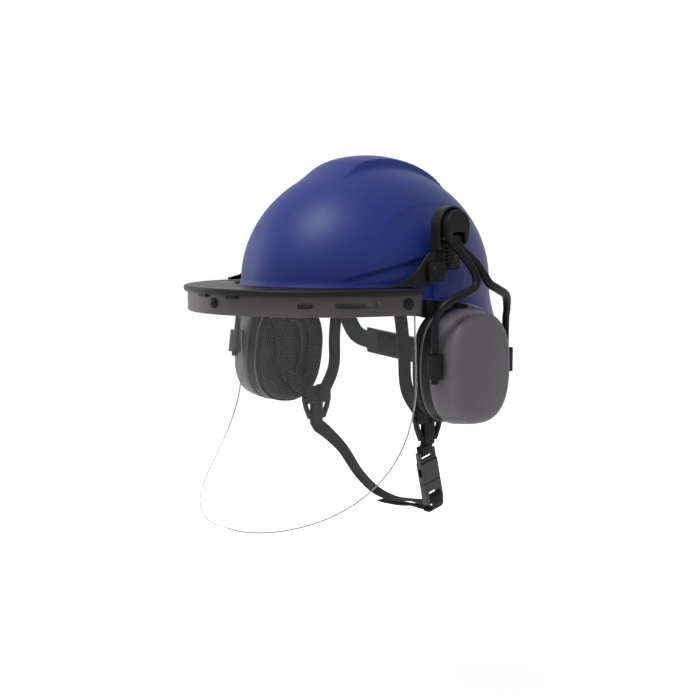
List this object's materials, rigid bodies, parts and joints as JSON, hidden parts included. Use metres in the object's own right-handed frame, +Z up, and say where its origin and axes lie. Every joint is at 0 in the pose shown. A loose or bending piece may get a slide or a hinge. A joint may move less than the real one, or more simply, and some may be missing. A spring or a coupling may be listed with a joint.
{
  "type": "forestry helmet",
  "caption": "Safety helmet for tree work with a flip-up clear face shield, a pair of ear muffs on wire yokes, a ratchet suspension and a buckled chin strap.",
  "frame": {"origin": "middle of the head opening, level with the middle of the visor band", "axes": "+Z up out of the crown, -Y towards the face, +X towards the wearer's left"},
  "size_m": [0.2956, 0.324, 0.3348],
  "materials": {
    "shell_blue": "moulded shell, fine matte texture",
    "black_plastic": "moulded nylon, satin",
    "band_metal": "dark bronze anodised strip, satin",
    "clear_sheet": "clear polycarbonate sheet, polished",
    "cup_grey": "moulded cup, fine satin texture",
    "cushion_black": "soft leathercloth over foam",
    "foam_grey": "open foam",
    "band_grey": "flexible moulded band, matte",
    "webbing_black": "woven polyester webbing",
    "buckle_grey": "moulded acetal, satin",
    "steel": "drawn steel pin"
  },
  "bodies": {
    "helmet": {"shell": "shell_blue", "adapter_left": "black_plastic", "adapter_right": "black_plastic", "visor_pivot_left": "black_plastic", "visor_pivot_right": "black_plastic", "headband": "band_grey", "brow_pad": "cushion_black", "suspension_key_front_left": "band_grey", "suspension_key_front_right": "band_grey", "suspension_key_rear_left": "band_grey", "suspension_key_rear_right": "band_grey", "crown_strap_a": "webbing_black", "crown_strap_b": "webbing_black", "chin_strap_front_left": "webbing_black", "chin_strap_front_right": "webbing_black", "chin_strap_rear_left": "webbing_black", "chin_strap_rear_right": "webbing_black", "strap_slider_left": "black_plastic", "strap_slider_right": "black_plastic", "buckle_socket": "buckle_grey", "buckle_tab_strap": "webbing_black", "chin_webbing": "webbing_black", "chin_webbing_tail": "webbing_black"},
    "visor": {"visor_band": "band_metal", "visor_plate": "black_plastic", "visor_arm_left": "black_plastic", "visor_arm_right": "black_plastic", "lens": "clear_sheet", "lens_pin_front": "black_plastic", "lens_pin_left": "black_plastic", "lens_pin_right": "black_plastic"},
    "muff_hub_left": {"hub_left": "black_plastic", "yoke_pin_left": "steel"},
    "muff_yoke_left": {"yoke_left": "black_plastic"},
    "muff_lugs_left": {"lug_front_left": "black_plastic", "lug_rear_left": "black_plastic"},
    "muff_cup_left": {"cup_left": "cup_grey", "cup_seat_left": "cup_grey", "cushion_left": "cushion_black", "foam_left": "foam_grey"},
    "muff_hub_right": {"hub_right": "black_plastic", "yoke_pin_right": "steel"},
    "muff_yoke_right": {"yoke_right": "black_plastic"},
    "muff_lugs_right": {"lug_front_right": "black_plastic", "lug_rear_right": "black_plastic"},
    "muff_cup_right": {"cup_right": "cup_grey", "cup_seat_right": "cup_grey", "cushion_right": "cushion_black", "foam_right": "foam_grey"},
    "nape": {"nape_housing": "band_grey", "nape_cover": "band_grey", "nape_pad": "cushion_black", "nape_arm_left": "band_grey", "nape_arm_right": "band_grey"},
    "ratchet": {"ratchet_knob": "black_plastic", "ratchet_pinion": "black_plastic"},
    "buckle_half": {"buckle_plug": "buckle_grey"}
  },
  "joints": [
    {"name": "visor_flip", "type": "hinge", "parent": "helmet", "child": "visor", "pos_m": [0, -0.029, 0.026], "axis": [-1, 0, 0], "range_deg": [0, 80]},
    {"name": "muff_swing_left", "type": "hinge", "parent": "helmet", "child": "muff_hub_left", "pos_m": [0.1107, -0.008, 0.065], "axis": [1, 0, 0], "range_deg": [-8, 5]},
    {"name": "muff_flip_left", "type": "hinge", "parent": "muff_hub_left", "child": "muff_yoke_left", "pos_m": [0.1175, -0.008, 0.055], "axis": [0, -1, 0], "range_deg": [0, 35]},
    {"name": "cup_height_left", "type": "slide", "parent": "muff_yoke_left", "child": "muff_lugs_left", "axis": [0, 0, -1], "range_m": [0, 0.015]},
    {"name": "cup_tilt_left", "type": "hinge", "parent": "muff_lugs_left", "child": "muff_cup_left", "pos_m": [0.128, 0.005, -0.055], "axis": [0, 1, 0], "range_deg": [-3, 3]},
    {"name": "muff_swing_right", "type": "hinge", "parent": "helmet", "child": "muff_hub_right", "pos_m": [-0.1107, -0.008, 0.065], "axis": [1, 0, 0], "range_deg": [0, 13]},
    {"name": "muff_flip_right", "type": "hinge", "parent": "muff_hub_right", "child": "muff_yoke_right", "pos_m": [-0.1175, -0.00939, 0.0551], "axis": [0, 0.9903, -0.1392], "range_deg": [0, 35]},
    {"name": "cup_height_right", "type": "slide", "parent": "muff_yoke_right", "child": "muff_lugs_right", "axis": [0, -0.1392, -0.9903], "range_m": [0, 0.015]},
    {"name": "cup_tilt_right", "type": "hinge", "parent": "muff_lugs_right", "child": "muff_cup_right", "pos_m": [-0.128, -0.01183, -0.05564], "axis": [0, 0.9903, -0.1392], "range_deg": [-3, 3]},
    {"name": "nape_slide", "type": "slide", "parent": "helmet", "child": "nape", "axis": [0, -1, 0], "range_m": [-0.008, 0.014]},
    {"name": "ratchet_turn", "type": "hinge", "parent": "nape", "child": "ratchet", "pos_m": [0, 0.1, -0.065], "axis": [0, 1, 0], "range_deg": [-80, 135]},
    {"name": "buckle_release", "type": "slide", "parent": "helmet", "child": "buckle_half", "axis": [0, 0.2334, -0.9724], "range_m": [0, 0.03], "deforming": ["chin_webbing", "chin_webbing_tail"]}
  ],
  "couplings": [
    {"joint": "ratchet_turn", "follows": "nape_slide", "rad_per_m": 166.67}
  ]
}
